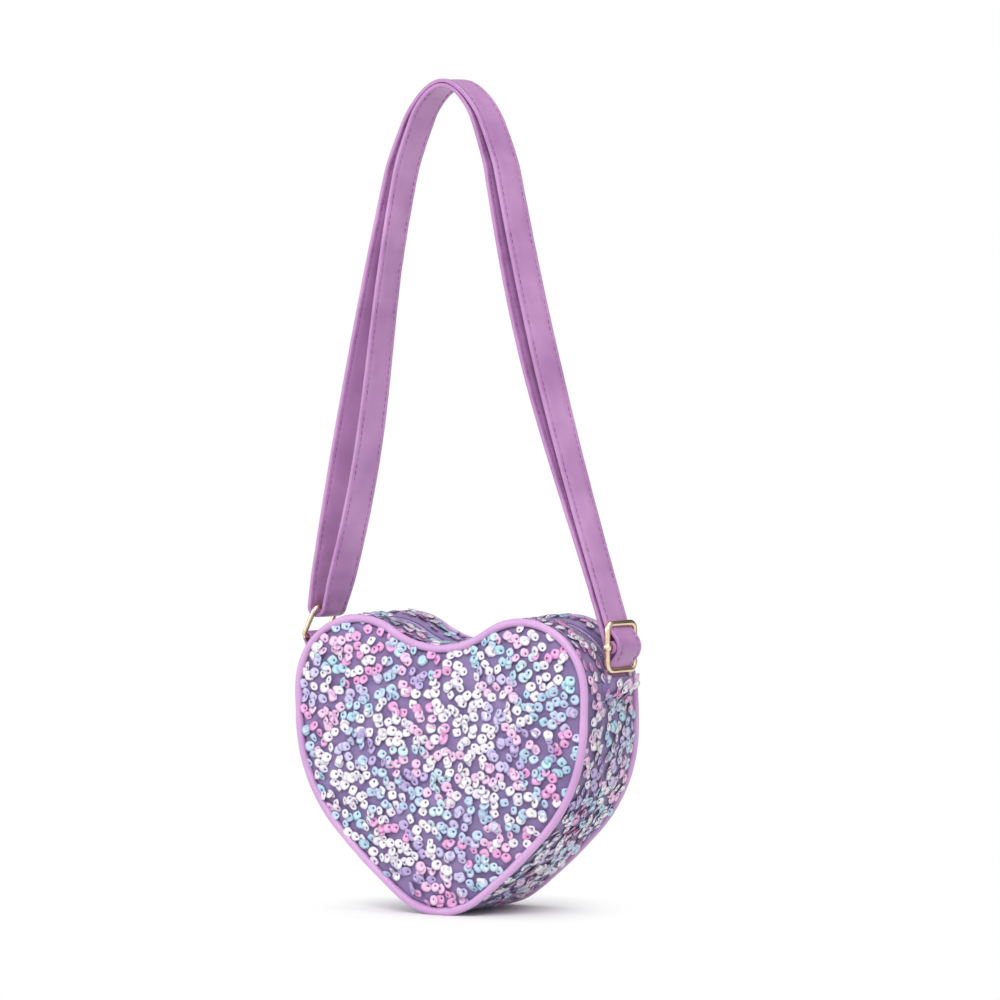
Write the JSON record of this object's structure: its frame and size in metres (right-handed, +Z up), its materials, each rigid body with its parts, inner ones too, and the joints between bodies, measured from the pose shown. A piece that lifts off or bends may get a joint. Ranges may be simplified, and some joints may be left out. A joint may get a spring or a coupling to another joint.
{
  "type": "heart shaped purse",
  "caption": "Small heart shaped zip purse of sequin mesh with piped edges, a wide gusset and a doubled shoulder strap held by a ring and a strap slider.",
  "frame": {"origin": "on the floor under the tip of the heart, midway between the front and back faces", "axes": "+Z up along the heart's axis, +X to the right seen from the front, front face towards -Y"},
  "size_m": [0.2254, 0.08, 0.5085],
  "materials": {
    "sequin_mesh": "mesh cloth sewn with sequins",
    "sponge": "sponge interlining",
    "lining": "plain woven lining",
    "piping": "smooth coated cloth over a cord",
    "zip_tape": "woven tape",
    "zip_teeth": "nylon coil",
    "gold_metal": "polished pale gold plate",
    "strap_leather": "smooth coated leather cloth"
  },
  "bodies": {
    "bag": {"back_foam": "sponge", "back_lining": "lining", "back_panel": "sequin_mesh", "back_piping": "piping", "front_foam": "sponge", "front_lining": "lining", "front_panel": "sequin_mesh", "front_piping": "piping", "gusset_foam": "sponge", "gusset_lining": "lining", "lower_gusset": "sequin_mesh", "zip_bottom_stop": "gold_metal", "zip_gusset_back": "sequin_mesh", "zip_gusset_front": "sequin_mesh", "zip_lining_back": "lining", "zip_lining_front": "lining", "zip_tape_back": "zip_tape", "zip_tape_front": "zip_tape", "zip_teeth_back": "zip_teeth", "zip_teeth_front": "zip_teeth", "zip_top_stop": "gold_metal"},
    "strap": {"shoulder_strap": "strap_leather", "buckle_frame": "gold_metal", "buckle_bar": "gold_metal", "left_ring": "gold_metal", "left_tab": "strap_leather"},
    "slider": {"zip_slider": "gold_metal", "zip_slider_back": "gold_metal"},
    "pull": {"zip_pull": "gold_metal"}
  },
  "joints": [
    {"name": "strap_swing", "type": "hinge", "parent": "bag", "child": "strap", "pos_m": [0, 0, 0.14149], "axis": [1, 0, 0], "range_deg": [-40, 40]},
    {"name": "zip_slide", "type": "hinge", "parent": "bag", "child": "slider", "pos_m": [-0.0565, 0, 0.13649], "axis": [0, 1, 0], "range_deg": [0, 56]},
    {"name": "pull_flip", "type": "hinge", "parent": "slider", "child": "pull", "pos_m": [-0.08011, 0, 0.17427], "axis": [0, 1, 0], "range_deg": [0, 140]}
  ]
}
